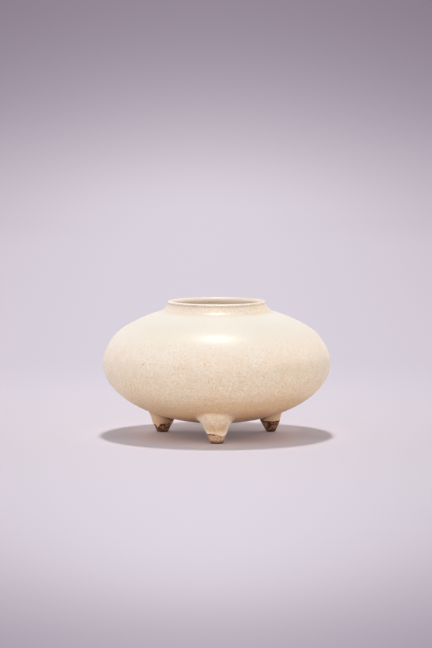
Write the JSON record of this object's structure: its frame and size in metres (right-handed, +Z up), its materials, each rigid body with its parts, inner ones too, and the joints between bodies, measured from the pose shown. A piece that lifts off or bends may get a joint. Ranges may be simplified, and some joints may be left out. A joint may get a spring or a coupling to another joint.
{
  "type": "tripod water pot",
  "caption": "Squat glazed stoneware water pot with a low neck and rolled lip, standing on small cone feet that were luted to its underside.",
  "frame": {"origin": "on the tabletop, on the pot's axis, below the middle of the underside", "axes": "+Z up along the pot's axis, out of the mouth; -Y towards the front foot; the two rear feet are at 30 and 150 degrees from +X"},
  "size_m": [0.12, 0.12, 0.0716],
  "materials": {
    "cream_glaze": "cream glaze, soft gloss, finely speckled with tan",
    "burnt_clay": "bare fired stoneware, matt and gritty, burnt orange to dark brown"
  },
  "bodies": {
    "root": {"thrown_pot": "cream_glaze", "luting_coil_front": "cream_glaze", "luting_coil_rear_right": "cream_glaze", "luting_coil_rear_left": "cream_glaze", "foot_front": "burnt_clay", "foot_rear_right": "burnt_clay", "foot_rear_left": "burnt_clay"}
  },
  "joints": []
}
